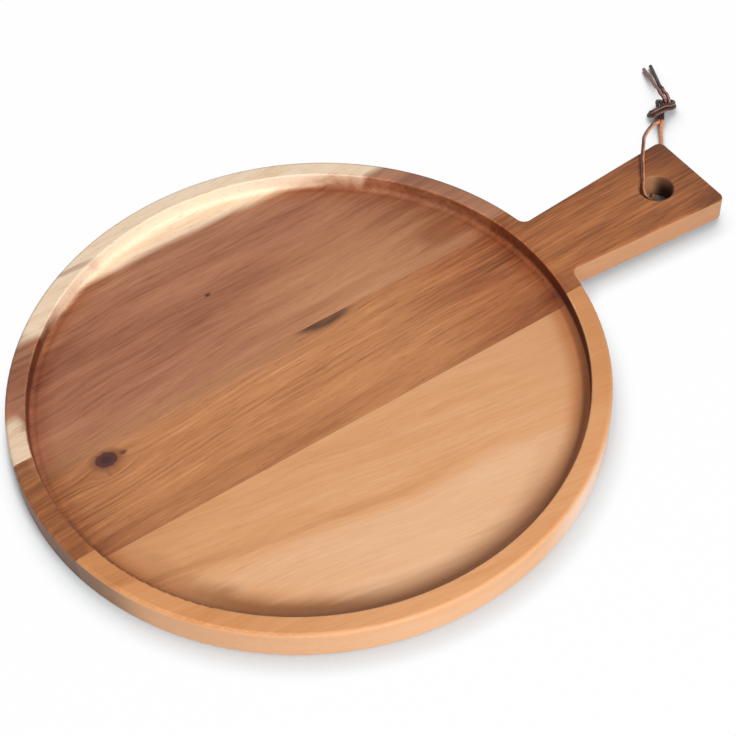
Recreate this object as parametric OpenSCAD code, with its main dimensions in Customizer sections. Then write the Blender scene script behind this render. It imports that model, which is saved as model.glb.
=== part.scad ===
// Round wooden serving board with a sunk middle, a flared handle and a leather hanging lace.
// Millimetres, +Z up. The origin is the centre of the round board's underside. The handle points to +X.

/* [Round board] */
// Outer diameter of the round board
board_d = 320; // [260:1:400]
// Thickness of the board
board_t = 18; // [15:0.5:26]
// Width of the raised rim, measured on its top
rim_w = 11; // [8:0.5:30]
// Depth of the sunk middle below the rim
recess_depth = 10; // [5:0.5:12]
// Width of the middle stave, between the two glued joints
stave_w = 69; // [66:0.5:120]
// Thickness of the film of glue in a joint
glue_t = 0.2; // [0.1:0.05:0.4]

/* [Handle] */
// Reach of the handle beyond the round board
handle_l = 104; // [80:1:160]
// Width of the handle where it meets the round board
handle_root_w = 44.5; // [36:0.5:52]
// Width of the handle at its far end
handle_end_w = 58.5; // [53:0.5:64]
// Radius of the two far corners
corner_r = 5; // [3:0.5:12]
// Radius of the hollow between the handle and the round board
root_r = 5; // [3:0.5:8]
// Diameter of the hanging hole
hole_d = 20; // [17:0.5:26]
// Distance of the hanging hole's centre from the far end
hole_inset = 27.5; // [22:0.5:40]

/* [Edges] */
// Round-over of the outer top edges
edge_r = 2; // [1:0.25:2.5]
// Round-over of the outer bottom edges
foot_r = 1; // [0.5:0.25:2]
// Round-over of the rim's inner edge
lip_r = 1; // [0.5:0.25:3]
// Radius of the hollow between the wall and the floor of the sunk middle
cove_r = 3; // [1:0.25:5]
// Round-over at both ends of the hanging hole
hole_edge_r = 1; // [0.5:0.25:2]

/* [Hanging lace] */
// Diameter of the leather lace
lace_d = 2.2; // [1.6:0.1:2.4]
// Clearance between the lace and what it lies against
lace_gap = 0.2; // [0.15:0.05:0.5]

/* [Hidden] */
$fn = 120;

// How far a cutting shape runs past the face that it cuts
overrun = 1;

// Round board
board_r = board_d / 2;
recess_r = board_r - rim_w;
floor_t = board_t - recess_depth;
joint_y = stave_w / 2;

// Handle: its underside is held up so that the lace can pass below it
handle_lift = lace_d + 2 * lace_gap;
handle_x = board_r + handle_l;
hole_x = handle_x - hole_inset;
hole_r = hole_d / 2;

// How far a rounded cut reaches past the edge that it blends into
blend = 0.08;

// Slanted edge of the handle: its angle, its outward normal, its direction and its distance from the centre
flare = atan((handle_end_w - handle_root_w) / 2 / handle_l);
edge_normal = [-sin(flare), cos(flare)];
edge_way = [cos(flare), sin(flare)];
edge_reach = edge_normal * [board_r, handle_root_w / 2];

// Centre of the hollow at the handle's root, which blends into the round board and into the slanted edge
root_away = root_r - blend;
root_along = sqrt(pow(board_r + root_away, 2) - pow(edge_reach + root_away, 2));
root_centre = (edge_reach + root_away) * edge_normal + root_along * edge_way;
root_turn = atan2(root_centre.y, root_centre.x);
root_ray = [cos(root_turn), sin(root_turn)];
root_on_edge = root_centre - root_away * edge_normal;

// Centre of the rounded far corner
corner_in = corner_r - blend;
corner_x = handle_x - corner_in;
corner_y = (edge_reach - corner_in + sin(flare) * corner_x) / cos(flare);
far_corner = [handle_x, handle_end_w / 2];

// Heights of the lace's middle: lying on the table, lying on the handle, and leaving the top of the knot
lace_sides = 8;
lace_lie = lace_d / 2 + lace_gap;
lace_top = board_t + lace_d / 2 + 2 * lace_gap;

// A doubled overhand knot, as the middle of its pair of strands in the knot's own frame, drawn for a lace of
// one diameter. The fourth value is how far the pair leans out of the level. The pair comes in low, rises
// through the knot, turns right, comes back over itself, goes round behind and leaves over its right turn.
knot_drawn_d = 2.2;
knot_scale = lace_d / knot_drawn_d;
knot_line = [
    [0, -7.2, -2.4, 0], [0, -5, -2.6, 0], [0.1, -2.8, -2.5, 0], [-0.2, 0.4, -0.7, 0], [-0.9, 3.4, 1.5, 0],
    [-0.9, 7.2, 0.1, 10], [1.9, 10.1, -2, 45], [5.8, 10, -2.2, 65], [8.2, 7, -1.2, 75], [6.8, 2.9, 0.8, 65],
    [2.4, -0.8, 2.7, 50], [-1.6, -3.6, 2.5, 55], [-4.9, -4.9, 0.9, 65], [-6.5, -2.6, -1.4, 65],
    [-4.8, 0.5, -2.9, 35], [-1, 2.6, -3.4, 10], [2.4, 3.7, -3, 15], [3.9, 5.6, 0.6, 35],
    [2.4, 8.2, 3.9, 20], [0.4, 10.8, 4.5, 5], [-0.4, 13.4, 4.3, 0]
];
knot_pair_gap = 0.3;
knot_steps = 3;
knot_lead = 1.5;

// The knot lies on the table behind the far rear corner, and the lace runs through it at this angle
knot_turn = 50;
knot_rise = 3.8 * knot_scale;
knot_centre = [hole_x + 54.7, 59.5, lace_lie + knot_rise];
knot_top = knot_centre.z + knot_scale * knot_line[len(knot_line) - 1].z;

// Route of the loop: over the handle, down through the hole and back below the handle, from the hole's axis.
// The third value is the share of the way from the table up to the handle's top.
loop_over = [
    [44.6, 53, 0.15], [40.2, 50.8, 0.26], [35.2, 47.6, 0.4], [30.2, 44, 0.56], [26, 40.6, 0.71],
    [22.6, 37.6, 0.86], [19.8, 35, 0.96], [17, 31.9, 1], [13, 27.6, 1], [8.5, 22.6, 1],
    [4.5, 17.6, 1], [1.5, 13.9, 1], [-0.7, 11, 1], [-2.2, 9, 0.96], [-3.3, 7.6, 0.86]
];
loop_hole = [[-3.6, 6.9, 0.73], [-3.4, 6.1, 0.59], [-2.6, 5.2, 0.44], [-1.2, 4.5, 0.31], [0.8, 4.4, 0.19]];
loop_under = [
    [2.9, 5.1, 0.085], [5.3, 6.8, 0.015], [8.5, 9.6, 0], [13, 13.8, 0], [17.5, 18, 0], [22, 22.2, 0],
    [26.5, 26.4, 0], [31, 30.8, 0], [35.2, 35.2, 0], [39.2, 39.8, 0], [42.4, 43.8, 0], [45, 47.2, 0.01],
    [47.2, 49.7, 0.035]
];
function on_loop(p) = [hole_x + p.x, p.y, lace_lie + p.z * (lace_top - lace_lie)];

// Routes of the two tails, from the knot down to the table, from the hole's axis.
// The third value is the share of the way from the table up to the top of the knot.
tail_long = [
    [65.8, 74, 0.83], [67.8, 77.9, 0.68], [69.8, 81.4, 0.54], [71.8, 85, 0.39],
    [73.8, 88.6, 0.25], [75.8, 92.2, 0.12], [77.4, 95.2, 0.03], [78.4, 97.4, 0]
];
tail_short = [
    [63.3, 74.4, 0.83], [64.9, 78.1, 0.68], [66.6, 81.7, 0.54], [68.2, 85.3, 0.39],
    [69.8, 88.9, 0.25], [71.2, 92.4, 0.12], [72.4, 95.4, 0.03], [73.2, 97.6, 0]
];
function on_tail(p) = [hole_x + p.x, p.y, lace_lie + p.z * (knot_top - lace_lie)];

// What a round-over of radius r takes off a square edge at the origin, with the material below left of it
module edge_cut(r) {
    translate([-r, -r]) difference() {
        square(r + overrun);
        circle(r);
    }
}

// Half section of the round board, before the middle is sunk
module board_section() {
    difference() {
        square([board_r, board_t]);
        translate([board_r, board_t]) edge_cut(edge_r);
        translate([board_r, 0]) mirror([0, 1]) edge_cut(foot_r);
    }
}

// Half section of the sunk middle
module recess_section() {
    difference() {
        translate([0, floor_t]) square([recess_r, recess_depth + overrun]);
        translate([recess_r, floor_t]) mirror([0, 1]) edge_cut(cove_r);
    }
    translate([recess_r, board_t]) mirror([1, 0]) edge_cut(lip_r);
}

module round_board() {
    rotate_extrude() difference() {
        board_section();
        recess_section();
    }
}

// A band of the board between two values of Y, over the whole length
module band(y_low, y_high) {
    translate([-board_r - overrun, y_low, -overrun])
        cube([board_r + handle_x + 2 * overrun, y_high - y_low, board_t + 2 * overrun]);
}

// A round hole through the handle, with both its edges rounded
module spool_cut(r, top_r, low_r) {
    rotate_extrude() {
        translate([0, handle_lift - overrun]) square([r, board_t - handle_lift + 2 * overrun]);
        translate([r, board_t]) mirror([1, 0]) edge_cut(top_r);
        translate([r, handle_lift]) mirror([1, 0]) mirror([0, 1]) edge_cut(low_r);
    }
}

// What a straight edge of the handle loses at its top and bottom, along a given length
module edge_cuts(length) {
    rotate([90, 0, 90]) linear_extrude(length) {
        translate([0, board_t]) edge_cut(edge_r);
        translate([0, handle_lift]) mirror([0, 1]) edge_cut(foot_r);
    }
}

// What a far corner loses, round its own centre
module corner_cut() {
    rotate_extrude(angle = 90 + flare) {
        translate([corner_r, handle_lift - overrun]) square([corner_r, board_t - handle_lift + 2 * overrun]);
        translate([corner_r, board_t]) edge_cut(edge_r);
        translate([corner_r, handle_lift]) mirror([0, 1]) edge_cut(foot_r);
    }
}

// Plan of the handle, from inside the rim to its far end, before its corners and hollows are cut
module handle_plan() {
    rim_middle = (recess_r + board_r) / 2;
    rear = [rim_middle * root_ray, board_r * root_ray, root_centre, root_on_edge, far_corner];
    front = [for (i = [len(rear) - 1:-1:0]) [rear[i].x, -rear[i].y]];
    polygon(concat(rear, front));
}

module handle() {
    difference() {
        translate([0, 0, handle_lift]) linear_extrude(board_t - handle_lift) handle_plan();
        for (side = [0, 1]) mirror([0, side, 0]) {
            translate(root_centre) spool_cut(root_r, edge_r, foot_r);
            translate(root_on_edge) rotate([0, 0, flare]) edge_cuts(handle_l);
            translate([corner_x, corner_y, 0]) corner_cut();
        }
        translate([handle_x, handle_end_w / 2 + overrun, 0]) rotate([0, 0, -90])
            edge_cuts(handle_end_w + 2 * overrun);
    }
}

// Vector helpers for the lace
function unit(v) = v / norm(v);
function way(path, i) = unit(path[min(i + 1, len(path) - 1)] - path[max(i - 1, 0)]);
function square_to(v, axis) = unit(v - (v * axis) * axis);
function reversed(list) = [for (i = [len(list) - 1:-1:0]) list[i]];

// Normals carried along a path without twist
function carried(path) = [
    for (i = 0, n = square_to([0, 0.2, 1], way(path, 0)); i < len(path);
        i = i + 1, n = i < len(path) ? square_to(n, way(path, i)) : n) n
];

// A round tube with one ring of points at each point of its path
module lace_tube(path) {
    normals = carried(path);
    rings = len(path);
    turns = [for (k = [0:lace_sides - 1]) 360 * k / lace_sides];
    points = [
        for (i = [0:rings - 1]) let (across = cross(way(path, i), normals[i]))
            for (a = turns) path[i] + lace_d / 2 * (cos(a) * normals[i] + sin(a) * across)
    ];
    walls = [
        for (i = [0:rings - 2]) for (k = [0:lace_sides - 1])
            let (a = i * lace_sides + k, b = i * lace_sides + (k + 1) % lace_sides)
                each [[a, a + lace_sides, b], [b, a + lace_sides, b + lace_sides]]
    ];
    start_cap = [for (k = [0:lace_sides - 1]) k];
    end_cap = [for (k = [lace_sides - 1:-1:0]) (rings - 1) * lace_sides + k];
    polyhedron(points, concat(walls, [start_cap, end_cap]));
}

// From the knot's own frame to the board's
function in_place(p) = knot_centre + [
    p.x * sin(knot_turn) + p.y * cos(knot_turn), -p.x * cos(knot_turn) + p.y * sin(knot_turn), p.z
];

// A smooth curve through a list of points, with a number of steps from each point to the next
function beyond(list, i) = let (last = len(list) - 1)
    i < 0 ? 2 * list[0] - list[1] : i > last ? 2 * list[last] - list[last - 1] : list[i];
function smooth(list, steps) = concat(
    [
        for (i = [0:len(list) - 2]) for (k = [0:steps - 1])
            let (t = k / steps, a = beyond(list, i - 1), b = list[i])
                let (c = list[i + 1], d = beyond(list, i + 2))
                    (2 * b + (c - a) * t + (2 * a - 5 * b + 4 * c - d) * t * t
                        + (3 * b - a - 3 * c + d) * t * t * t) / 2
    ],
    [list[len(list) - 1]]
);

// The two strands of the pair: side 1 comes from below the handle, side -1 comes over it
knot_mid = [for (p = knot_line) knot_scale * [p[0], p[1], p[2]]];
pair_shift = (lace_d + knot_pair_gap) / 2;
function pair_way(i) =
    let (along = way(knot_mid, i), level = unit(cross(along, [0, 0, 1])), lean = knot_line[i][3])
        cos(lean) * level + sin(lean) * cross(level, along);
function knot_strand(side) = smooth(
    [for (i = [0:len(knot_line) - 1]) in_place(knot_mid[i] + side * pair_shift * pair_way(i))], knot_steps
);

// Where a strand goes into the knot or comes out of it, or a point in line with it at a distance outside
function past_first(path, out) = path[0] + out * unit(path[0] - path[1]);
function at_entry(side, out) = past_first(knot_strand(side), out);
function at_exit(side, out) = past_first(reversed(knot_strand(side)), out);

module rear_stave() {
    color("#b3704a") intersection() {
        round_board();
        band(joint_y + glue_t / 2, board_r + overrun);
    }
}

module handle_stave() {
    color("#a8703f") difference() {
        union() {
            intersection() {
                rotate_extrude() board_section();
                band(-joint_y + glue_t / 2, joint_y - glue_t / 2);
            }
            handle();
        }
        rotate_extrude() recess_section();
        translate([hole_x, 0, 0]) spool_cut(hole_r, hole_edge_r, hole_edge_r);
    }
}

module front_stave() {
    color("#d6a070") intersection() {
        round_board();
        band(-board_r - overrun, -joint_y - glue_t / 2);
    }
}

module rear_glue_line() {
    color("#6b4226") intersection() {
        round_board();
        band(joint_y - glue_t / 2, joint_y + glue_t / 2);
    }
}

module front_glue_line() {
    color("#6b4226") intersection() {
        round_board();
        band(-joint_y - glue_t / 2, -joint_y + glue_t / 2);
    }
}

module lace_loop() {
    color("#7d4226") lace_tube(concat(
        [at_entry(-1, 0), at_entry(-1, knot_lead)],
        [for (p = concat(loop_over, loop_hole, loop_under)) on_loop(p)],
        [at_entry(1, knot_lead), at_entry(1, 0)]
    ));
}

module lace_knot() {
    color("#4a2618") for (side = [1, -1]) lace_tube(knot_strand(side));
}

module lace_tail_long() {
    color("#5a3020") lace_tube(concat(
        [at_exit(1, 0), at_exit(1, knot_lead)],
        [for (p = tail_long) on_tail(p)]
    ));
}

module lace_tail_short() {
    color("#5a3020") lace_tube(concat(
        [at_exit(-1, 0), at_exit(-1, knot_lead)],
        [for (p = tail_short) on_tail(p)]
    ));
}

rear_stave();
handle_stave();
front_stave();
rear_glue_line();
front_glue_line();
lace_loop();
lace_knot();
lace_tail_long();
lace_tail_short();
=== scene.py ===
# %% [markdown]
# A round serving board, glued up from three wooden staves, with a leather lace through its handle.
# The solids of the board are exact already, so this lesson is about what Blender adds: the camera,
# the soft lace, the figure of the wood, and light. The first cell loads the solids as a fixed frame.

# %% Load the frame
import math

import bpy
from mathutils import Matrix, Vector


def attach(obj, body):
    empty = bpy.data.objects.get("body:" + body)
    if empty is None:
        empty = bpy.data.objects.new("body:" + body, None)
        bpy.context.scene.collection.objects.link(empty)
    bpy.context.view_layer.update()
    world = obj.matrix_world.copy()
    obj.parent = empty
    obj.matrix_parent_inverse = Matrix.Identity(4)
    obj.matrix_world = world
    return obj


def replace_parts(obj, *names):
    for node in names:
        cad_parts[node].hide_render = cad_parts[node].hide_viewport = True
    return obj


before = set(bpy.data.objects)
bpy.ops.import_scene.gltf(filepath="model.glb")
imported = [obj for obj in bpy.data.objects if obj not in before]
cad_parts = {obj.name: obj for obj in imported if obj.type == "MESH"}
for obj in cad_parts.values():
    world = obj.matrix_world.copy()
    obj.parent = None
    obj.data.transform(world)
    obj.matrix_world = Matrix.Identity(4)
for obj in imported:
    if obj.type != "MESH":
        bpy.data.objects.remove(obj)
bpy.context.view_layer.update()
bpy.ops.object.select_all(action="DESELECT")

# %% [markdown]
# The camera stands in front of the board, to the left of the handle, and looks down at about fifty degrees.
# A long lens keeps the round rim from looking stretched. Its three axes are worked out from the turn round
# the board, the height and a small roll, because a roll is awkward to give as plain angles.

# %% Camera
TURN, HEIGHT, ROLL = (math.radians(angle) for angle in (-31.262, 50.525, -3.106))
AIM = Vector((0.03523, -0.00317, 0))
DISTANCE = 0.93409
SENSOR, LENS = 36, 84.34

back = Vector((math.sin(TURN) * math.cos(HEIGHT), -math.cos(TURN) * math.cos(HEIGHT), math.sin(HEIGHT)))
level = Vector((math.cos(TURN), math.sin(TURN), 0))
upward = back.cross(level)
right_axis = math.cos(ROLL) * level + math.sin(ROLL) * upward
up_axis = -math.sin(ROLL) * level + math.cos(ROLL) * upward
facing = Matrix((right_axis, up_axis, back)).transposed()

camera_data = bpy.data.cameras.new("photo_camera")
camera_data.sensor_width, camera_data.lens = SENSOR, LENS
camera = bpy.data.objects.new("photo_camera", camera_data)
bpy.context.scene.collection.objects.link(camera)
camera.matrix_world = Matrix.Translation(AIM + DISTANCE * back) @ facing.to_4x4()
bpy.context.scene.camera = camera
print("camera at", [round(c, 3) for c in camera.matrix_world.translation])

# %% [markdown]
# The lace is a soft leather thong of about two millimetres. It runs from the knot over the handle, down
# through the hole and back below the handle. Its route repeats the route of the solids, so that it lies in
# the space that they hold. A smooth curve through the listed points gives the slack look of leather. The points
# are in millimetres from the hole's axis, and each height is a share of the climb from the table.

# %% Route of the lace
MM = 0.001
HOLE_X = 236.5  # the hole's axis, from the middle of the board
LACE_D = 2.2  # thickness of the lace
LIE, TOP = 1.3, 19.5  # heights of the lace's middle on the table and over the handle
KNOT_TOP = 9.4  # height from which the tails come down
PAIR = 1.25  # from the middle of the pair to each strand in the knot
LEAD = 1.5  # straight stretch just outside the knot
KNOT_AT = Vector((HOLE_X + 54.7, 59.5, 5.1))
KNOT_TURN = math.radians(50)

LOOP = [
    (44.6, 53, 0.15), (40.2, 50.8, 0.26), (35.2, 47.6, 0.4), (30.2, 44, 0.56), (26, 40.6, 0.71),
    (22.6, 37.6, 0.86), (19.8, 35, 0.96), (17, 31.9, 1), (13, 27.6, 1), (8.5, 22.6, 1),
    (4.5, 17.6, 1), (1.5, 13.9, 1), (-0.7, 11, 1), (-2.2, 9, 0.96), (-3.3, 7.6, 0.86),
    (-3.6, 6.9, 0.73), (-3.4, 6.1, 0.59), (-2.6, 5.2, 0.44), (-1.2, 4.5, 0.31), (0.8, 4.4, 0.19),
    (2.9, 5.1, 0.085), (5.3, 6.8, 0.015), (8.5, 9.6, 0), (13, 13.8, 0), (17.5, 18, 0), (22, 22.2, 0),
    (26.5, 26.4, 0), (31, 30.8, 0), (35.2, 35.2, 0), (39.2, 39.8, 0), (42.4, 43.8, 0), (45, 47.2, 0.01),
    (47.2, 49.7, 0.035),
]
TAIL_LONG = [
    (65.8, 74, 0.83), (67.8, 77.9, 0.68), (69.8, 81.4, 0.54), (71.8, 85, 0.39),
    (73.8, 88.6, 0.25), (75.8, 92.2, 0.12), (77.4, 95.2, 0.03), (78.4, 97.4, 0),
]
TAIL_SHORT = [
    (63.3, 74.4, 0.83), (64.9, 78.1, 0.68), (66.6, 81.7, 0.54), (68.2, 85.3, 0.39),
    (69.8, 88.9, 0.25), (71.2, 92.4, 0.12), (72.4, 95.4, 0.03), (73.2, 97.6, 0),
]
KNOT = [
    (0, -7.2, -2.4, 0), (0, -5, -2.6, 0), (0.1, -2.8, -2.5, 0), (-0.2, 0.4, -0.7, 0), (-0.9, 3.4, 1.5, 0),
    (-0.9, 7.2, 0.1, 10), (1.9, 10.1, -2, 45), (5.8, 10, -2.2, 65), (8.2, 7, -1.2, 75), (6.8, 2.9, 0.8, 65),
    (2.4, -0.8, 2.7, 50), (-1.6, -3.6, 2.5, 55), (-4.9, -4.9, 0.9, 65), (-6.5, -2.6, -1.4, 65),
    (-4.8, 0.5, -2.9, 35), (-1, 2.6, -3.4, 10), (2.4, 3.7, -3, 15), (3.9, 5.6, 0.6, 35),
    (2.4, 8.2, 3.9, 20), (0.4, 10.8, 4.5, 5), (-0.4, 13.4, 4.3, 0),
]


def in_place(p):
    """From the knot's own frame to the board's, in millimetres."""
    s, c = math.sin(KNOT_TURN), math.cos(KNOT_TURN)
    return KNOT_AT + Vector((p[0] * s + p[1] * c, -p[0] * c + p[1] * s, p[2]))


def hung(points, low, high):
    """Points from the hole's axis, with the height as a share of the climb from low to high."""
    return [Vector((HOLE_X + x, y, low + share * (high - low))) for x, y, share in points]


print("hand-set points:", len(LOOP), "loop,", len(KNOT), "knot")

# %% [markdown]
# Both ends of the lace are tied together in one overhand knot. The pair of strands comes in low, rises through
# the knot, turns right, comes back over itself, goes round behind and leaves over its right turn. The list
# above holds the middle of the pair, and how far the pair leans out of the level, in degrees. Each strand is
# that middle moved to one side. The loop and the tails begin where the strands end.

# %% Strands of the knot
middle = [Vector(p[:3]) for p in KNOT]


def on_strand(side, i):
    """A point of one strand of the knot."""
    along = (middle[min(i + 1, len(middle) - 1)] - middle[max(i - 1, 0)]).normalized()
    sideways = along.cross(Vector((0, 0, 1))).normalized()
    lean = math.radians(KNOT[i][3])
    apart = math.cos(lean) * sideways + math.sin(lean) * sideways.cross(along)
    return in_place(middle[i] + side * PAIR * apart)


def lead_from(strand):
    """The first point of a strand, and a point in line with it just outside the knot."""
    return [strand[0], strand[0] + LEAD * (strand[0] - strand[1]).normalized()]


under_strand, over_strand = ([on_strand(side, i) for i in range(len(KNOT))] for side in (1, -1))
loop_route = lead_from(over_strand) + hung(LOOP, LIE, TOP) + lead_from(under_strand)[::-1]
long_route = lead_from(under_strand[::-1]) + hung(TAIL_LONG, LIE, KNOT_TOP)
short_route = lead_from(over_strand[::-1]) + hung(TAIL_SHORT, LIE, KNOT_TOP)
print("loop points:", len(loop_route), "tail points:", len(long_route), len(short_route))

# %% [markdown]
# Leather lace is cut from a hide, so it isn't quite round: one face is the dyed grain side, and the cut sides
# are paler. A tube with a rounded square section shows both. It is built ring by ring along the smoothed
# route, and its UV map holds the length along the lace and the place round it, for the finish later.

# %% Shape of the lace
SIDES = 16
SQUARE = 3  # 2 would make the section round
SKIN = 0.94 * LACE_D / 2  # from the middle to the flat of a side
START_UP = Vector((0, 0.2, 1))


def smooth(points, steps):
    """A smooth line through all the points, in steps from each one to the next."""
    padded = [2 * points[0] - points[1]] + points + [2 * points[-1] - points[-2]]
    line = []
    for i in range(1, len(padded) - 2):
        a, b, c, d = padded[i - 1:i + 3]
        square, cube = 2 * a - 5 * b + 4 * c - d, 3 * b - a - 3 * c + d
        for k in range(steps):
            t = k / steps
            line.append(0.5 * (2 * b + (c - a) * t + square * t ** 2 + cube * t ** 3))
    return line + [points[-1]]


def section(angle):
    """Distance of the lace's rounded square skin from its middle."""
    return SKIN / (abs(math.cos(angle)) ** SQUARE + abs(math.sin(angle)) ** SQUARE) ** (1 / SQUARE)


def lace_rings(line, roll):
    """Rings of points and the length so far, carried along a line without twist."""
    rings, lengths, length = [], [], 0
    normal = START_UP
    for i, p in enumerate(line):
        ahead = (line[min(i + 1, len(line) - 1)] - line[max(i - 1, 0)]).normalized()
        normal = (normal - normal.dot(ahead) * ahead).normalized()
        across = ahead.cross(normal)
        length += (p - line[i - 1]).length if i else 0
        ring = []
        for k in range(SIDES):
            a = 2 * math.pi * k / SIDES
            way = math.cos(a + roll) * normal + math.sin(a + roll) * across
            ring.append((p + section(a) * way) * MM)
        rings.append(ring)
        lengths.append(length)
    return rings, lengths


print("lace section:", SIDES, "sides")

# %% [markdown]
# Each stretch of lace becomes one closed mesh, which rides on the lace's body and stands for its solid. The
# lengths of the loop and of the whole lace are worked out and printed.

# %% Lace pieces
CUT_END = (-1, 0)  # the UV place of an end face, off the rest of the map
CREASE = math.radians(50)
LOOP_STEPS, KNOT_STEPS = 4, 8
LACE_ROLL, SHORT_ROLL = 0.6, 2.4  # how far the dyed face is turned round the lace


def lace_piece(name, lines, roll):
    """One piece of lace: a closed tube along each line, with its UV map."""
    points, faces, spots = [], [], []
    for line in lines:
        rings, lengths = lace_rings(line, roll)
        base = len(points)
        for ring in rings:
            points += ring
        for i in range(len(rings) - 1):
            for k in range(SIDES):
                a, b = base + i * SIDES + k, base + i * SIDES + (k + 1) % SIDES
                faces.append((a, b, b + SIDES, a + SIDES))
                u0, u1, v0, v1 = lengths[i] * MM, lengths[i + 1] * MM, k / SIDES, (k + 1) / SIDES
                spots.append(((u0, v0), (u0, v1), (u1, v1), (u1, v0)))
        for first, order in ((base, range(SIDES - 1, -1, -1)), (len(points) - SIDES, range(SIDES))):
            faces.append(tuple(first + k for k in order))
            spots.append((CUT_END,) * SIDES)
    mesh = bpy.data.meshes.new(name)
    mesh.from_pydata(points, [], faces)
    uv = mesh.uv_layers.new(name="lace")
    for face, corners in zip(mesh.polygons, spots):
        for loop, place in zip(face.loop_indices, corners):
            uv.data[loop].uv = place
    piece = bpy.data.objects.new(name, mesh)
    bpy.context.scene.collection.objects.link(piece)
    bpy.ops.object.select_all(action="DESELECT")
    piece.select_set(True)
    bpy.context.view_layer.objects.active = piece
    bpy.ops.object.shade_smooth_by_angle(angle=CREASE)
    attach(piece, "hanging_lace")
    return piece


def length_of(line):
    """Length of a line in metres."""
    return sum((b - a).length for a, b in zip(line, line[1:])) * MM


loop_line = smooth(loop_route, LOOP_STEPS)
knot_lines = [smooth(strand, KNOT_STEPS) for strand in (under_strand, over_strand)]
long_line, short_line = smooth(long_route, LOOP_STEPS), smooth(short_route, LOOP_STEPS)
lace_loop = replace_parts(lace_piece("leather_loop", [loop_line], LACE_ROLL), "lace_loop")
lace_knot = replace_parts(lace_piece("leather_knot", knot_lines, LACE_ROLL), "lace_knot")
tail_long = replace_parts(lace_piece("leather_tail_long", [long_line], LACE_ROLL), "lace_tail_long")
tail_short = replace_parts(lace_piece("leather_tail_short", [short_line], SHORT_ROLL), "lace_tail_short")

loop_length = length_of(loop_line)
whole = loop_length + sum(length_of(line) for line in knot_lines + [long_line, short_line])
print("loop length", round(loop_length, 4), "whole lace", round(whole, 4))

# %% [markdown]
# A finish is a small graph of nodes. These helpers keep the later cells short: each adds one node or a few,
# feeds them, and returns the socket that comes out. Colours are written as they look on a screen and turned
# into the linear values that the shader wants.

# %% Helpers for finishes


def tone(code):
    """A colour such as b5734a as the shader's linear value."""
    shares = [int(code[i:i + 2], 16) / 255 for i in (0, 2, 4)]
    return tuple(c / 12.92 if c <= 0.04045 else ((c + 0.055) / 1.055) ** 2.4 for c in shares) + (1,)


def feed(tree, socket, value):
    """Link a socket, or set it to a plain value."""
    if isinstance(value, bpy.types.NodeSocket):
        tree.links.new(value, socket)
    else:
        socket.default_value = value


def node(tree, kind, feeds, out=0, **settings):
    """A new node with its inputs fed, as one of its outputs."""
    made = tree.nodes.new("ShaderNode" + kind)
    for key, value in settings.items():
        setattr(made, key, value)
    for key, value in feeds.items():
        feed(tree, made.inputs[key], value)
    return made.outputs[out]


def calc(tree, operation, *values):
    return node(tree, "Math", dict(enumerate(values)), operation=operation)


def both(tree, *shares):
    """Where all the shares hold."""
    total = shares[0]
    for share in shares[1:]:
        total = calc(tree, "MULTIPLY", total, share)
    return total


def between(tree, value, low, high, start=0.0, end=1.0):
    """Runs softly from start to end while value goes from low to high."""
    feeds = {"Value": value, "From Min": low, "From Max": high, "To Min": start, "To Max": end}
    return node(tree, "MapRange", feeds, interpolation_type="SMOOTHSTEP")


def cloud(tree, place, scale, detail=2.0, roughness=0.5):
    """Soft noise from 0 to 1."""
    return node(tree, "TexNoise", {"Vector": place, "Scale": scale, "Detail": detail, "Roughness": roughness})


def triple(tree, x, y, z):
    return node(tree, "CombineXYZ", {0: x, 1: y, 2: z})


def split(tree, vector):
    made = tree.nodes.new("ShaderNodeSeparateXYZ")
    feed(tree, made.inputs[0], vector)
    return made.outputs[0], made.outputs[1], made.outputs[2]


def length(tree, x, y):
    """How far a place is from the origin, on the flat."""
    return calc(tree, "SQRT", calc(tree, "ADD", calc(tree, "MULTIPLY", x, x), calc(tree, "MULTIPLY", y, y)))


def facings(tree):
    """How squarely the surface faces along the board, across it and upwards, each from 0 to 1."""
    return [calc(tree, "ABSOLUTE", n) for n in split(tree, node(tree, "TexCoord", {}, out="Normal"))]


def ramp(tree, value, stops):
    """A colour from a list of places and colours."""
    made = tree.nodes.new("ShaderNodeValToRGB")
    feed(tree, made.inputs[0], value)
    while len(made.color_ramp.elements) < len(stops):
        made.color_ramp.elements.new(0.5)
    for element, (place, code) in zip(made.color_ramp.elements, stops):
        element.position = place
        element.color = tone(code)
    return made.outputs[0]


def mixed(tree, share, a, b, blend="MIX"):
    """Colour a, and colour b where the share is 1."""
    made = tree.nodes.new("ShaderNodeMix")
    made.data_type, made.blend_type = "RGBA", blend
    feed(tree, made.inputs[0], share)
    for socket, value in ((made.inputs[6], a), (made.inputs[7], b)):
        feed(tree, socket, tone(value) if isinstance(value, str) else value)
    return made.outputs[2]


def bumped(tree, shader, height, strength, distance):
    """Small relief that bends the light on a surface."""
    relief = node(tree, "Bump", {"Strength": strength, "Distance": distance, "Height": height})
    feed(tree, shader.inputs["Normal"], relief)


def new_finish(name):
    finish = bpy.data.materials.new(name)
    finish.use_nodes = True
    tree = finish.node_tree
    return finish, tree, tree.nodes["Principled BSDF"]


print("helpers ready")

# %% [markdown]
# Wood is the same stuff all through, so its figure is worked out in space and then cut by the surfaces, as a
# saw does. Noise that is stretched along the grain gives it: wide bands of colour, streaks a few millimetres
# wide, thin lines, fibres, and short dark pores. First the grain itself wanders a little, so nothing is ruled
# straight. Each stave gets its own slope, so that the three boards don't look alike.

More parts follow.
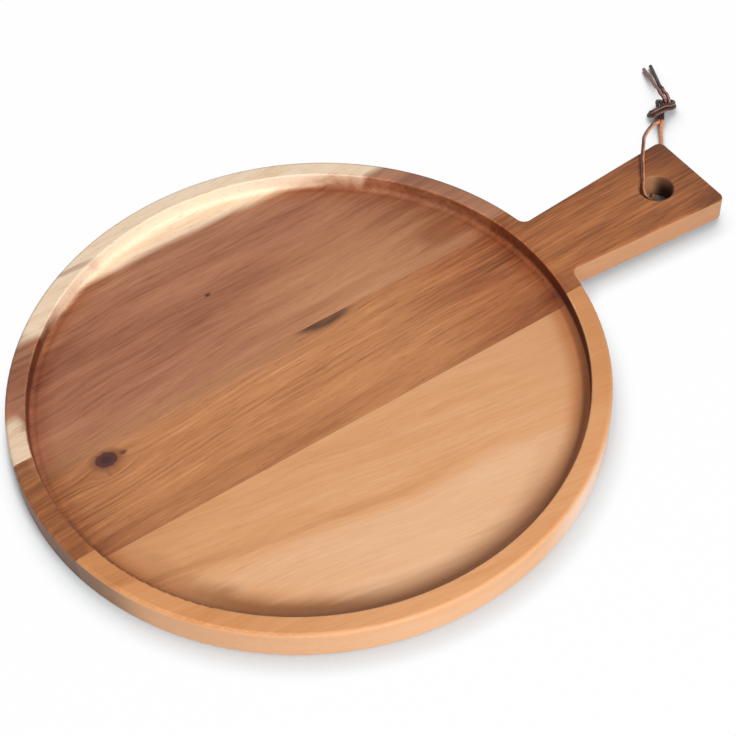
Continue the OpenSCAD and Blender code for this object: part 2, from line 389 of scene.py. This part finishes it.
# %% Grain of a stave
# Waves per metre along and across the grain, and the detail and roughness of the noise.
FIGURE = {
    "band": (5.0, 50.0, 2.0, 0.5),
    "streak": (16.0, 190.0, 4.0, 0.6),
    "line": (24.0, 620.0, 3.0, 0.6),
    "fibre": (70.0, 2400.0, 2.0, 0.6),
    "pore": (110.0, 1500.0, 1.0, 0.4),
}
SLOW_BEND, QUICK_BEND = (6.0, 10.0), (30.0, 60.0)
QUICK_SHARE = 0.1
PORE_FROM, PORE_TO = 0.63, 0.75


def stretched(tree, grain, along, across):
    """Place in the grain, in waves, so that noise comes out long and thin."""
    return triple(tree, *(calc(tree, "MULTIPLY", p, waves) for p, waves in zip(grain, (along, across, across))))


def shifted(tree, start, *parts):
    """A start value, moved by noises about their middle, each with its weight."""
    for noise, weight in parts:
        start = calc(tree, "MULTIPLY_ADD", calc(tree, "SUBTRACT", noise, 0.5), weight, start)
    return start


def grain_of(tree, slope, wander, around=None):
    """Place in a stave's own grain, in metres: along it, across it and up, after it has wandered."""
    place = node(tree, "TexCoord", {}, out="Object")
    turned = node(tree, "Mapping", {"Vector": place, "Rotation": (0, 0, -math.radians(slope))})
    x, y, z = split(tree, turned)
    if around:
        y = around(tree, x, y)
    slow, quick = (cloud(tree, stretched(tree, (x, y, z), *waves), 1.0) for waves in (SLOW_BEND, QUICK_BEND))
    return place, (x, shifted(tree, y, (slow, wander), (quick, QUICK_SHARE * wander)), z)


def figure_of(tree, grain):
    """Bands, streaks, lines and fibres of the wood, each from 0 to 1, and its pores."""
    marks = []
    for along, across, detail, roughness in FIGURE.values():
        marks.append(cloud(tree, stretched(tree, grain, along, across), 1.0, detail, roughness))
    return marks[:-1] + [between(tree, marks[-1], PORE_FROM, PORE_TO)]


def darker(tree, depth, *steps):
    """Depth of tone, less an amount that comes in while a value goes from low to high."""
    for value, low, high, amount in steps:
        depth = calc(tree, "SUBTRACT", depth, between(tree, value, low, high, 0.0, amount))
    return depth


def spot(tree, x, y, middle, radii, soft=0.5):
    """An oval spot: 1 in its middle and 0 outside."""
    dx, dy = (
        calc(tree, "DIVIDE", calc(tree, "SUBTRACT", p, at), radius)
        for p, at, radius in zip((x, y), middle, radii)
    )
    return between(tree, length(tree, dx, dy), 1 - soft, 1 + soft, 1.0, 0.0)


print("grain helpers ready")

# %% [markdown]
# Two things change the colour of every stave. Shade is painted in a ring on the floor near the wall of the
# hollow, deeper in the cove. End grain, where the fibres meet the surface head-on, soaks up more oil and turns
# a deep red-brown, and on the wall that darkening is also painted shade; the long sides stay pale. The second
# is told by the surface's own direction.

# %% Painted shade ring, end grain and oil
RIM_EDGE = (0.1494, 0.1500)  # where the wall ends and the rim begins, from the middle of the board
SHADE_RING_FROM, SHADE_RING_TO = (0.134, 0.1435), (0.1488, 0.1495)  # the painted shade ring comes in on the floor and ends on the wall
COVE = (0.1435, 0.146)  # where the floor curves up
WALL_FOOT, WALL_HEAD = (0.0085, 0.0105), (0.0178, 0.0166)  # heights between which the wall stands
BOARD_EDGE = (0.162, 0.1605)  # just outside the round board
# Painted shade: the ring's tint on the floor near the wall, and a deeper one in the cove, which also dulls the
# cove's highlight.
RING_SHADE_TINT, COVE_SHADE_TINT, BUTT_COLOUR = "dbbb9d", "d2b094", "5a3c2b"


def worked(tree, place, colour, ring, ends, deep, sides, top):
    """Colour with a painted shade ring near the wall, the wall's dark end grain, partly painted shade, the
    paler sides and the oiled rim.

    ring is the share of the painted shade ring. ends says from where to where the wall turns to dark end grain
    and painted shade, and the share of the colour deep on it. sides is the share and the colour of the outer
    sides, and top tints the rim.
    """
    x, y, z = split(tree, place)
    r = length(tree, x, y)
    nx, _, nz = facings(tree)
    # Painted shade: a ring on the floor near the wall, darker again in the cove.
    painted_ring_shade = both(tree, between(tree, r, *SHADE_RING_FROM), between(tree, r, *SHADE_RING_TO, 1.0, 0.0), ring)
    colour = mixed(tree, painted_ring_shade, colour, RING_SHADE_TINT, "MULTIPLY")
    colour = mixed(tree, both(tree, painted_ring_shade, between(tree, r, *COVE)), colour, COVE_SHADE_TINT, "MULTIPLY")
    outer = between(tree, r, *RIM_EDGE)
    colour = mixed(tree, both(tree, outer, between(tree, nz, 0.4, 0.8)), colour, top, "MULTIPLY")
    side = both(tree, outer, between(tree, nz, 0.7, 0.3))
    colour = mixed(tree, both(tree, side, sides[0]), colour, sides[1])
    in_height = both(tree, between(tree, z, *WALL_FOOT), between(tree, z, *WALL_HEAD))
    wall = both(tree, in_height, between(tree, r, 0.1502, 0.149))
    # The wall's end grain turns deep: partly oiled end grain, partly painted shade.
    colour = mixed(tree, both(tree, wall, between(tree, nx, ends[0], ends[1], 0.0, ends[2])), colour, deep)
    butt = both(tree, side, between(tree, nx, 0.86, 0.97, 0.0, 0.75), between(tree, r, *BOARD_EDGE))
    return mixed(tree, butt, colour, BUTT_COLOUR)


def oiled(tree, shader, colour, fibre, pore):
    """Oiled wood: a soft sheen that breaks up along the fibres, and pores that sink in a little."""
    feed(tree, shader.inputs["Base Color"], colour)
    feed(tree, shader.inputs["Roughness"], between(tree, fibre, 0.3, 0.7, 0.44, 0.58))
    shader.inputs["Specular IOR Level"].default_value = 0.35
    bumped(tree, shader, calc(tree, "SUBTRACT", calc(tree, "MULTIPLY", fibre, 0.5), pore), 0.16, 0.0003)


print("edge helpers ready")

# %% [markdown]
# The front stave is the palest: peach-coloured wood with faint, slightly slanting bands. A thin darker line
# crosses it, and beyond that line, towards the front, the wood is paler still. A brown band of painted shadow
# runs along the floor by the near wall, and the outer side is paler at the right.

# %% Front stave
PEACH = [(0.0, "b07246"), (0.25, "cb8f5f"), (0.5, "db9f6d"), (0.75, "e6b185"), (1.0, "efc4a0")]

finish, tree, shader = new_finish("front_stave_wood")
place, grain = grain_of(tree, -8.0, 0.018)
band, streak, line, fibre, pore = figure_of(tree, grain)
x, y, z = split(tree, place)
out = length(tree, x, y)

beyond = calc(tree, "MULTIPLY_ADD", calc(tree, "ADD", x, 0.109), 0.2, calc(tree, "ADD", y, 0.066))
beyond = calc(tree, "SUBTRACT", beyond, between(tree, x, 0.0, 0.06, 0.0, 0.012))
beyond = shifted(tree, beyond, (streak, 0.012), (band, 0.01))
thin_line = both(
    tree, between(tree, beyond, -0.002, 0.0005), between(tree, beyond, 0.001, 0.006, 0.16, 0.0),
    between(tree, x, 0.04, 0.0),
)
depth = shifted(tree, 0.47, (band, 0.4), (streak, 0.4), (line, 0.4), (fibre, 0.42))
depth = calc(tree, "ADD", depth, between(tree, beyond, -0.010, 0.004, 0.2, 0.0))
depth = calc(tree, "SUBTRACT", depth, thin_line)
depth = darker(tree, depth, (x, -0.07, -0.13, 0.13), (x, 0.10, 0.15, 0.12))
colour = ramp(tree, depth, PEACH)
colour = mixed(tree, both(tree, pore, 0.16), colour, "9a6239")

on_floor = between(tree, z, 0.012, 0.009)
paler = both(tree, between(tree, beyond, 0.0, -0.016), between(tree, x, -0.09, -0.03, 0.1, 0.3), on_floor)
colour = mixed(tree, paler, colour, "f0c9a6")
# Painted shadow: the near wall's soft shadow on the floor, drawn longer and browner, with a ragged edge.
near_wall = between(tree, shifted(tree, out, (streak, 0.014)), 0.126, 0.138)
painted_wall_shadow = both(
    tree, near_wall, between(tree, out, 0.1445, 0.138, 0.15, 1.0), between(tree, x, -0.14, -0.10),
    between(tree, x, 0.10, 0.05), between(tree, x, -0.03, -0.07, 0.45, 0.85),
)
colour = mixed(tree, painted_wall_shadow, colour, "9a6238")
colour = mixed(tree, between(tree, x, 0.04, 0.12, 0.0, 0.35), colour, "dca476")
# Painted shade: the ring near the wall, and deep shade on the wall's end grain.
colour = worked(tree, place, colour, 0.75, (0.58, 0.8, 0.95), "2e0c02", (0.5, "cf9c74"), "f6e8d6")
# The outer side is paler at the right, below the rim.
pale_side = both(
    tree, between(tree, x, 0.03, 0.075), between(tree, x, 0.115, 0.085, 0.25, 0.65),
    between(tree, z, 0.018, 0.015), between(tree, out, 0.1575, 0.159),
)
colour = mixed(tree, pale_side, colour, "f0d6c4")
oiled(tree, shader, colour, fibre, pore)
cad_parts["front_stave"].data.materials[0] = finish
print("front stave finished")

# %% [markdown]
# The handle stave is golden tan, with many thin dark lines. A branch once grew through it and left a dark knot
# in the floor, and the fibres flow round the knot as water flows round a post. So the grain is pushed aside
# there before the noise is worked out.

# %% Knot in the handle stave
BRANCH_XY = BRANCH_X, BRANCH_Y = -0.1129, 0.0182
BRANCH_R = 0.0045  # how far the fibres are pushed aside
BRANCH_FLOW = 0.42  # less than 1 draws the flow out along the grain
# Rings of the knot from the outside in, and a small fleck beside it: middle, radii, softness and colour.
BRANCH_RINGS = [
    (BRANCH_XY, (0.0088, 0.0064), 0.35, "8a5638"),
    ((BRANCH_X + 0.0097, BRANCH_Y - 0.0005), (0.0022, 0.0012), 0.6, "6a3e28"),
    (BRANCH_XY, (0.0060, 0.0048), 0.12, "52281c"),
    (BRANCH_XY, (0.0032, 0.0023), 0.4, "3a191a"),
]


def round_the_branch(tree, x, y):
    """Place across the grain, moved so that the fibres part at the knot."""
    dx = calc(tree, "MULTIPLY", calc(tree, "SUBTRACT", x, BRANCH_X), BRANCH_FLOW)
    dy = calc(tree, "SUBTRACT", y, BRANCH_Y)
    far = calc(tree, "ADD", calc(tree, "MULTIPLY", dx, dx), calc(tree, "MULTIPLY", dy, dy))
    moved = calc(tree, "DIVIDE", BRANCH_R ** 2, calc(tree, "MAXIMUM", far, BRANCH_R ** 2))
    return calc(tree, "MULTIPLY_ADD", dy, calc(tree, "SUBTRACT", 1.0, moved), BRANCH_Y)


print("knot rings:", len(BRANCH_RINGS))

# %% [markdown]
# A dark wedge under the rear joint is the edge of another branch. The handle is oiled by hands, so it is
# browner. Inside its hole the wall is painted with shade, nearly black low down and on the end grain, while the
# long grain at the back of it stays tan.

# %% Handle stave
TAN = [(0.0, "6f3f22"), (0.25, "9b6039"), (0.5, "ba7b4d"), (0.75, "cd8c5b"), (1.0, "dea26f")]
HOLE_EDGE = (0.0103 ** 2, 0.0112 ** 2)  # squares of the distance from the hole's axis

finish, tree, shader = new_finish("handle_stave_wood")
place, grain = grain_of(tree, 3.0, 0.014, round_the_branch)
band, streak, line, fibre, pore = figure_of(tree, grain)
x, y, z = split(tree, place)

lined = both(tree, between(tree, y, -0.026, -0.008, 0.35, 1.0), shifted(tree, 0.0, (line, 0.95)))
depth = calc(tree, "ADD", shifted(tree, 0.61, (band, 0.45), (streak, 0.6), (fibre, 0.6)), lined)
depth = darker(
    tree, depth, (y, -0.012, -0.026, 0.12), (y, 0.010, 0.022, 0.06), (x, 0.05, 0.13, 0.25),
    (x, -0.10, -0.14, 0.2), (x, 0.16, 0.25, 0.06), (x, 0.235, 0.260, 0.14),
)
colour = ramp(tree, depth, TAN)
rosy = both(tree, between(tree, y, 0.018, 0.030), between(tree, x, -0.02, 0.05, 0.35, 0.0))
colour = mixed(tree, rosy, colour, "a87a62")
redder = both(tree, between(tree, x, 0.07, 0.12), between(tree, x, 0.152, 0.148))
colour = mixed(tree, redder, colour, "faebe3", "MULTIPLY")
colour = mixed(tree, both(tree, pore, 0.42), colour, "66391f")

wedge = spot(tree, x, shifted(tree, y, (line, 0.004)), (0.0315, 0.0365), (0.0175, 0.0078), 0.35)
colour = mixed(tree, both(tree, wedge, between(tree, streak, 0.3, 0.6, 1.0, 0.8)), colour, "4c2c1c")
knot_x = shifted(tree, x, (streak, 0.002))
knot_y = shifted(tree, y, (cloud(tree, place, 400.0), 0.002))
for at, radii, soft, code in BRANCH_RINGS:
    colour = mixed(tree, spot(tree, knot_x, knot_y, at, radii, soft), colour, code)

# Painted shade: the wall's end grain is darkest at the front, where the wall turns from the lamp.
end_grain_and_shade = between(tree, y, -0.035, 0.035, 1.0, 0.42)
colour = worked(tree, place, colour, 0.5, (0.6, 0.9, end_grain_and_shade), "521f0c", (0.65, "d09a70"), "fbf0e2")
from_axis = calc(tree, "POWER", calc(tree, "SUBTRACT", x, HOLE_X * MM), 2.0)
from_axis = calc(tree, "ADD", from_axis, calc(tree, "POWER", y, 2.0))
# Painted shade: the hole's wall turns nearly black towards the bottom, most on its end grain.
painted_hole_shade = both(
    tree, between(tree, from_axis, *HOLE_EDGE, 1.0, 0.0), between(tree, z, 0.02, 0.008, 0.6, 1.0),
    between(tree, facings(tree)[0], 0.45, 0.95, 0.3, 1.0),
)
colour = mixed(tree, painted_hole_shade, colour, "260f07")
left_rim = both(tree, between(tree, x, -0.1465, -0.150), between(tree, streak, 0.3, 0.6, 0.6, 0.3))
colour = mixed(tree, left_rim, colour, "6e3c1e")
oiled(tree, shader, colour, fibre, pore)
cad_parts["handle_stave"].data.materials[0] = finish
print("handle stave finished")

# %% [markdown]
# The rear stave is reddish heartwood with soft blotches, more golden towards the right. Its outer edge was the
# outside of the tree, and is pale sapwood, which meets the heartwood in a tan seam. The seam follows a curve
# in the board, so it shows on the rim, the wall and the floor alike. A second patch shows at the left end.

# %% Figure of the rear stave
RED_BROWN = [(0.0, "763d27"), (0.25, "955a3f"), (0.5, "b07354"), (0.75, "c28563"), (1.0, "d49b76")]
GOLDEN = [(0.2, "985f3c"), (0.5, "bb7f56"), (0.9, "d09668")]
SEAM = [(0.2, "8c583c"), (0.5, "b27858"), (0.8, "c68f6d")]
SAPWOOD = [(0.2, "efc9a0"), (0.5, "fee2c2"), (0.8, "ffebd2")]

finish, tree, shader = new_finish("rear_stave_wood")
place, grain = grain_of(tree, 3.0, 0.022)
band, streak, line, fibre, pore = figure_of(tree, grain)
x, y, z = split(tree, place)
out = length(tree, x, y)
far_x = calc(tree, "ABSOLUTE", x)

depth = shifted(tree, 0.46, (band, 0.75), (streak, 0.8), (line, 0.45), (fibre, 0.45))
depth = calc(tree, "ADD", depth, between(tree, x, -0.11, 0.07, -0.09, 0.1))
depth = calc(tree, "ADD", depth, between(tree, y, 0.045, 0.10, 0.12, -0.08))
depth = darker(tree, depth, (x, 0.07, 0.14, 0.32))
colour = ramp(tree, depth, RED_BROWN)
golden = both(tree, between(tree, x, -0.04, 0.06, 0.0, 0.7), between(tree, y, 0.115, 0.06))
colour = mixed(tree, golden, colour, ramp(tree, depth, GOLDEN))
blotch_x, blotch_y = shifted(tree, x, (band, 0.02)), shifted(tree, y, (streak, 0.008))
blotch = spot(tree, blotch_x, blotch_y, (0.122, 0.051), (0.014, 0.008))
colour = mixed(tree, both(tree, blotch, 0.6), colour, "904c27")

bark = calc(tree, "MULTIPLY_ADD", calc(tree, "POWER", far_x, 3.0), -26.5, 0.139)
bark = calc(tree, "SUBTRACT", y, calc(tree, "MAXIMUM", bark, 0.109))
bark = calc(tree, "ADD", bark, calc(tree, "MULTIPLY_ADD", z, 0.3, -0.0027))
slant = both(tree, calc(tree, "SUBTRACT", z, 0.018), between(tree, out, 0.154, 0.159, 0.0, 0.7))
inward = both(tree, between(tree, z, 0.0125, 0.009, 0.0, 0.005), between(tree, far_x, 0.07, 0.04))
bark = calc(tree, "ADD", calc(tree, "ADD", bark, slant), inward)
bark = shifted(tree, bark, (streak, 0.003), (band, 0.006))
seam = ramp(tree, shifted(tree, 0.5, (streak, 0.9), (line, 0.6), (fibre, 0.4)), SEAM)
colour = mixed(tree, between(tree, bark, -0.018, -0.010, 0.0, 0.8), colour, seam)

end_patch = both(
    tree, between(tree, shifted(tree, x, (streak, 0.004)), -0.137, -0.141), between(tree, out, 0.1492, 0.150),
    between(tree, calc(tree, "SUBTRACT", shifted(tree, y, (line, 0.008)), slant), 0.067, 0.057),
)
sap = calc(tree, "MAXIMUM", between(tree, bark, -0.003, 0.004), both(tree, end_patch, 0.8))
heart = calc(tree, "SUBTRACT", 1.0, sap)
pale = ramp(tree, shifted(tree, 0.5, (streak, 0.8), (line, 0.5)), SAPWOOD)
colour = mixed(tree, sap, colour, pale)
in_wall = both(tree, between(tree, facings(tree)[2], 0.9, 0.5), between(tree, out, 0.1505, 0.1495))
colour = mixed(tree, both(tree, sap, in_wall), colour, "fbe4c8")
colour = mixed(tree, both(tree, pore, 0.3), colour, "6d3d29")
print("rear stave's figure ready")

# %% [markdown]
# A few single marks make the stave this one and no other: a pin knot, a brown streak in the sapwood, and a rim
# that is rosy at the right and dark at the left. The ring of painted shade is weaker in the sapwood and near
# the handle, and the end grain of the wall, partly painted shade, is darkest at the left.

# %% Marks on the rear stave
pin_knot = spot(tree, shifted(tree, x, (fibre, 0.001)), y, (-0.0121, 0.0868), (0.0017, 0.0012))
colour = mixed(tree, pin_knot, colour, "55291c")
on_rim = between(tree, out, *RIM_EDGE)
rosy_rim = both(tree, on_rim, between(tree, x, 0.06, 0.12, 0.0, 0.18), heart)
colour = mixed(tree, rosy_rim, colour, "b58e80")
left_rim = both(
    tree, on_rim, between(tree, x, -0.106, -0.116), between(tree, x, -0.144, -0.139),
    between(tree, streak, 0.3, 0.6, 0.6, 0.2),
)
colour = mixed(tree, left_rim, colour, "6e3f29")
brown_streak = spot(tree, x, shifted(tree, y, (line, 0.003)), (-0.068, 0.139), (0.013, 0.0018), 0.6)
colour = mixed(tree, both(tree, brown_streak, 0.6), colour, "a87a55")

# The wall's dark end grain, partly painted shade, is strongest at the left and a little near the handle.
end_grain_and_shade = calc(tree, "ADD", between(tree, x, -0.02, 0.06, 0.7, 0.05), between(tree, x, 0.115, 0.138, 0.0, 0.2))
heart_end_grain_and_shade = both(tree, heart, end_grain_and_shade)
calm = both(tree, between(tree, x, 0.095, 0.118), between(tree, x, 0.140, 0.132))
# The ring of painted shade is weaker in the sapwood and near the handle.
ring = both(tree, calc(tree, "MULTIPLY_ADD", sap, -0.5, 0.5), calc(tree, "MULTIPLY_ADD", calm, -0.7, 1.0))
colour = worked(tree, place, colour, ring, (0.5, 0.72, heart_end_grain_and_shade), "43190c", (0.1, "dba77a"), "ffffff")
oiled(tree, shader, colour, fibre, pore)
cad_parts["rear_stave"].data.materials[0] = finish
print("rear stave finished")

# %% [markdown]
# The glue in a good joint is a hair-thin brown film. It shows only as a fine line where the staves meet, so it
# takes the colour of the wood beside it, a shade darker and glossier.

# %% Glue lines
FILM = [(0.35, "9a6a46"), (0.65, "b5815a")]

finish, tree, shader = new_finish("glue_film")
place = node(tree, "TexCoord", {}, out="Object")
film = cloud(tree, place, 60.0, 3.0)
colour = ramp(tree, film, FILM)
# The glue takes the same painted shade ring and dark wall as the wood beside it.
colour = worked(tree, place, colour, 0.7, (0.6, 0.9, 0.9), "3f180a", (0.3, "c08a5f"), "f6e6d2")
feed(tree, shader.inputs["Base Color"], colour)
feed(tree, shader.inputs["Roughness"], between(tree, film, 0.3, 0.7, 0.4, 0.55))
bumped(tree, shader, film, 0.1, 0.0002)
for name in ("rear_glue_line", "front_glue_line"):
    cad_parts[name].data.materials[0] = finish
print("glue lines finished")

# %% [markdown]
# The lace's grain face is dyed dark brown and waxed; its cut sides stay tan. The UV map tells which is which.
# The loop, which lies in the lamp's light, gets a paler, more orange copy of the finish: painted light, while
# the knot and the tails keep the dark tones.

# %% Leather


def leather(name, cut, face, share):
    """A lace finish: tones of the cut sides and of the dyed face, and how much of the lace is face."""
    finish, tree, shader = new_finish(name)
    u, v, _ = split(tree, node(tree, "UVMap", {}, uv_map="lace"))
    place = node(tree, "TexCoord", {}, out="Object")
    hide = cloud(tree, place, 900.0, 3.0, 0.6)
    patch = cloud(tree, place, 140.0, 2.0)
    around = calc(tree, "COSINE", calc(tree, "MULTIPLY", v, 2 * math.pi))
    turn = calc(tree, "MULTIPLY_ADD", around, 0.5, share)
    colour = mixed(tree, between(tree, shifted(tree, turn, (patch, 0.6)), 0.35, 0.65), cut, face)
    colour = mixed(tree, between(tree, hide, 0.45, 0.75, 0.0, 0.4), colour, "2e140b")
    colour = mixed(tree, calc(tree, "LESS_THAN", u, CUT_END[0] / 2), colour, "a8704e")
    feed(tree, shader.inputs["Base Color"], colour)
    feed(tree, shader.inputs["Roughness"], between(tree, hide, 0.3, 0.7, 0.38, 0.55))
    bumped(tree, shader, hide, 0.35, 0.0002)
    return finish


# Painted light: the loop's finish is a paler, lit copy of the dark leather.
lace_loop.data.materials.append(leather("lace_leather_lit", "e2976c", "5e2c1a", 0.2))
dyed = leather("lace_leather_dyed", "a06a5c", "2f1712", 0.62)
for piece in (lace_knot, tail_long, tail_short):
    piece.data.materials.append(dyed)
print("leather finished")

# %% [markdown]
# The board lies on a plain pale sweep, which keeps its shadow. What looks straight at the sweep sees it partly
# as plain white, so that it melts into the background. Ambient occlusion takes that white away where the board
# stands over the floor. One that leans to the back leaves a soft edge of shade along the front, and a shorter
# one leaves a thin line of contact all round, so that the board doesn't float.

# %% Floor
FLOOR_SIZE, FLOOR_Z = 12, -0.0004
SHADE_REACH, CONTACT_REACH = 0.016, 0.008
LEAN_BACK = (0.1, 0.64, 0.76)


def seen_rays(tree):
    """1 for rays that show the background: straight from the camera, mirrored or through glass."""
    rays = tree.nodes.new("ShaderNodeLightPath").outputs
    mirrored = calc(tree, "MAXIMUM", rays["Is Glossy Ray"], rays["Is Transmission Ray"])
    return calc(tree, "MAXIMUM", rays["Is Camera Ray"], mirrored)


bpy.ops.object.select_all(action="DESELECT")
bpy.ops.mesh.primitive_plane_add(size=FLOOR_SIZE, location=(0, 0, FLOOR_Z))
floor = bpy.context.active_object
floor.name = "studio_floor"
finish, tree, shader = new_finish("floor_white")
shader.inputs["Base Color"].default_value = tone("c8cdd0")
shader.inputs["Roughness"].default_value = 0.9
leaning = {"Distance": SHADE_REACH, "Normal": triple(tree, *LEAN_BACK)}
open_sky = node(tree, "AmbientOcclusion", leaning, out="AO")
touching = node(tree, "AmbientOcclusion", {"Distance": CONTACT_REACH}, out="AO")
white = node(tree, "Emission", {"Color": (1, 1, 1, 1), "Strength": 1.0})
share = both(
    tree, seen_rays(tree), between(tree, open_sky, 0.25, 0.95, 0.0, 0.985), between(tree, touching, 0.4, 0.85),
)
mix = node(tree, "MixShader", {0: share, 1: shader.outputs[0], 2: white})
tree.links.new(mix, tree.nodes["Material Output"].inputs["Surface"])
floor.data.materials.append(finish)
print("floor ready")

# %% [markdown]
# Light comes from a large soft lamp at the front, fairly low, so that the near sides are brighter than the tops
# and the near wall of the hollow throws a soft shadow on the floor. The white sky around fills the rest.

# %% Light
SKY_LIGHT = 0.32
KEY_WAY, KEY_DISTANCE, KEY_SIZE, KEY_POWER = (-0.14, -0.99, 0.80), 1.6, 0.7, 25

world = bpy.data.worlds.new("studio_sky")
bpy.context.scene.world = world
world.use_nodes = True
tree = world.node_tree
sky = tree.nodes["Background"]
sky.inputs["Color"].default_value = (1, 1, 1, 1)
feed(tree, sky.inputs["Strength"], between(tree, seen_rays(tree), 0.0, 1.0, SKY_LIGHT, 1.0))

key_data = bpy.data.lights.new("key_softbox", "AREA")
key_data.shape, key_data.size, key_data.energy = "DISK", KEY_SIZE, KEY_POWER
key = bpy.data.objects.new("key_softbox", key_data)
way = Vector(KEY_WAY).normalized()
key.location = way * KEY_DISTANCE
key.rotation_euler = way.to_track_quat("Z", "Y").to_euler()
bpy.context.scene.collection.objects.link(key)
print("lights ready")

# %% Finish
bpy.context.scene.view_settings.view_transform = "Standard"
bpy.context.view_layer.update()
